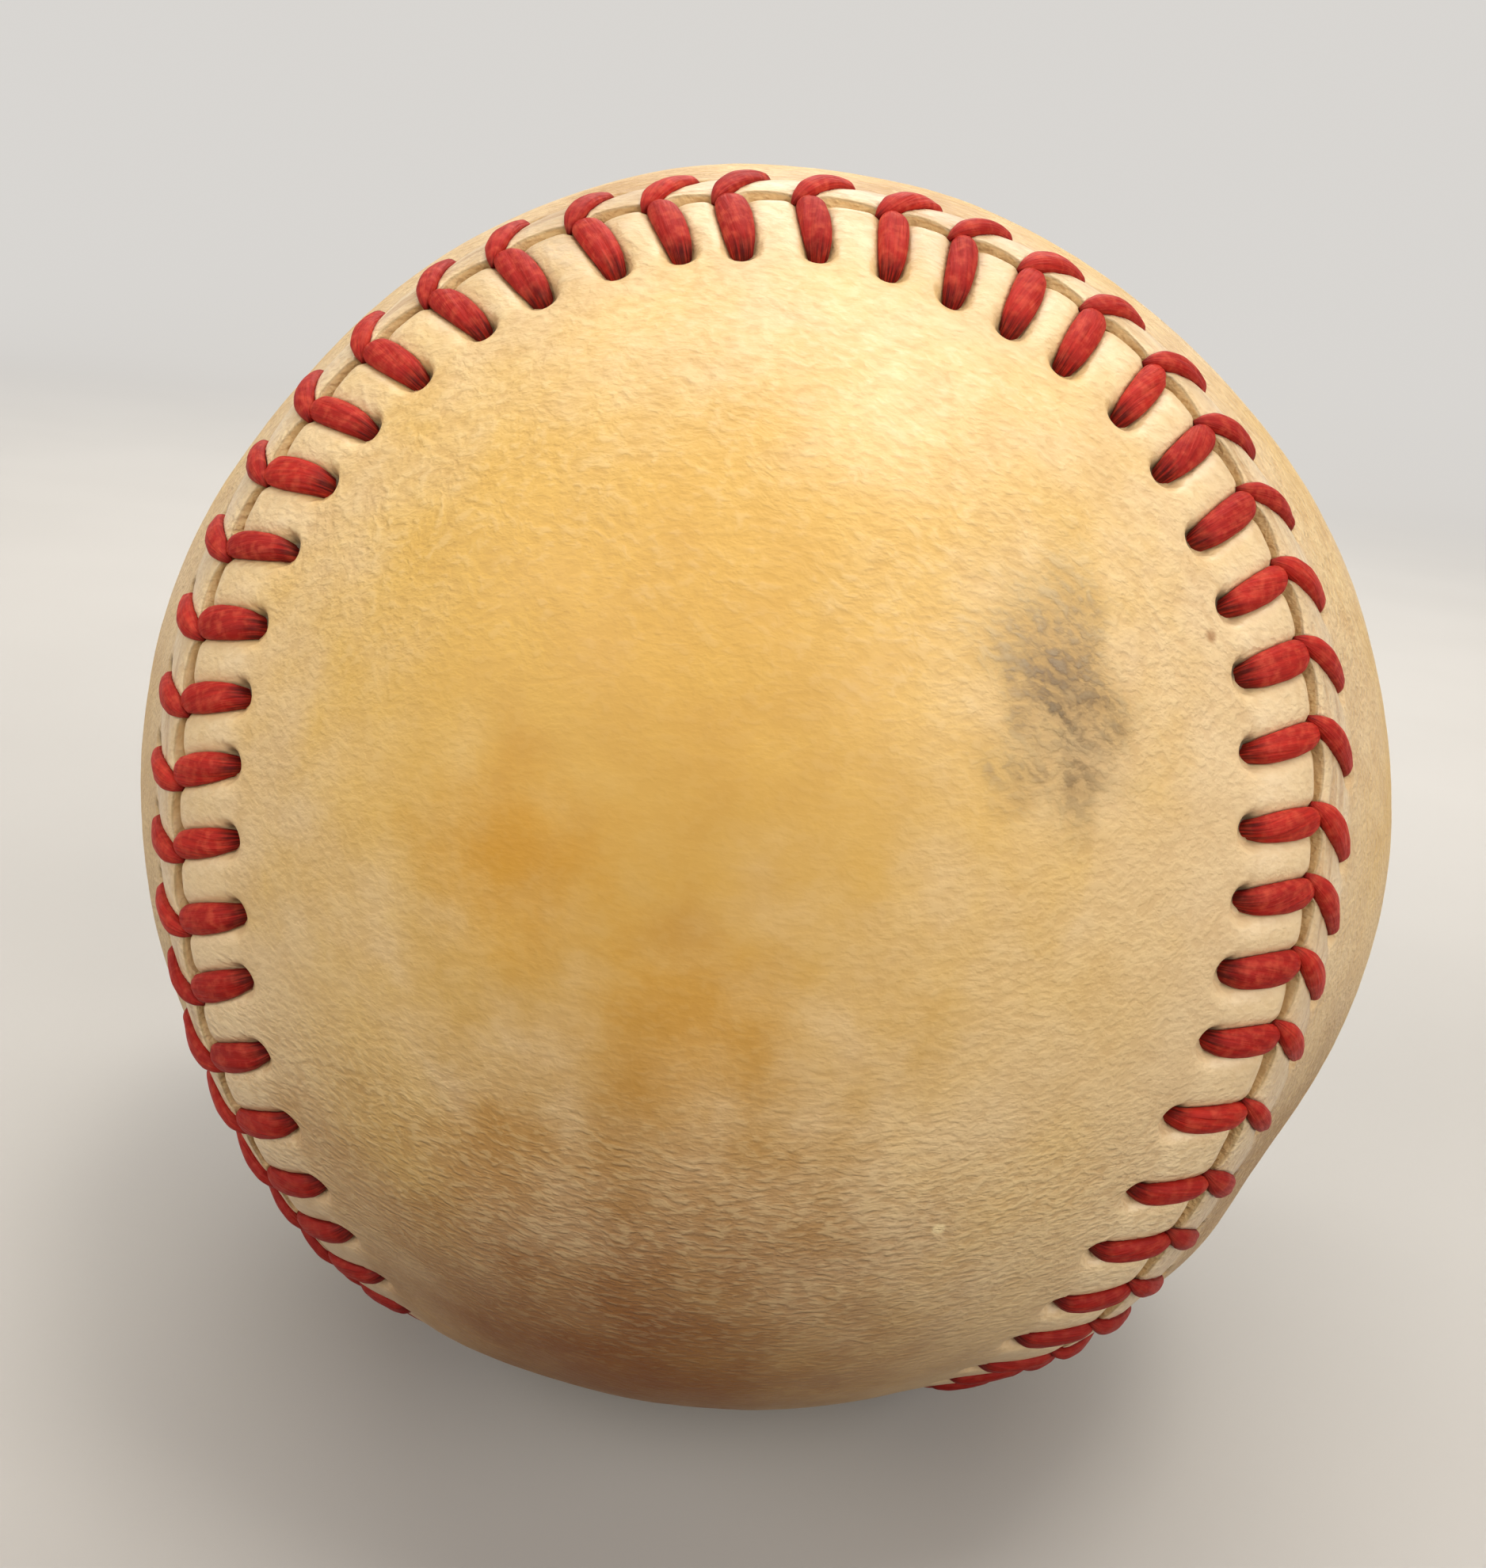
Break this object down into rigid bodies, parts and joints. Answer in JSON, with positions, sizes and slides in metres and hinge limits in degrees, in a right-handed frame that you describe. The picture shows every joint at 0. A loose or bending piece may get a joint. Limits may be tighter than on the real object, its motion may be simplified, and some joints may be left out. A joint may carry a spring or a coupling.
{
  "type": "baseball",
  "caption": "Wound ball with a cork and rubber core, two sewn figure-eight leather panels and red double stitches.",
  "frame": {"origin": "centre of the ball", "axes": "+Z through the middle of cover_panel_b's waist, with cover_panel_a's waist at -Z and its two lobes at +Y and -Y; the lobes of cover_panel_b are at +X and -X"},
  "size_m": [0.0742, 0.0742, 0.0742],
  "materials": {
    "cork": "ground cork bound with rubber, matt",
    "black_rubber": "moulded, matt",
    "red_rubber": "moulded, matt",
    "grey_wool": "wound wool yarn",
    "white_wool": "wound wool yarn",
    "cotton": "fine wound cotton thread",
    "leather": "aged tawed leather, yellowed and handled, soft sheen",
    "thread": "waxed thread, slight sheen"
  },
  "bodies": {
    "root": {"cork_core": "cork", "inner_shell_lower": "black_rubber", "inner_shell_upper": "black_rubber", "shell_gasket": "red_rubber", "rubber_cover": "red_rubber", "first_winding": "grey_wool", "second_winding": "white_wool", "third_winding": "grey_wool", "finishing_winding": "cotton", "cover_panel_a": "leather", "cover_panel_b": "leather", "stitching": "thread"}
  },
  "joints": []
}
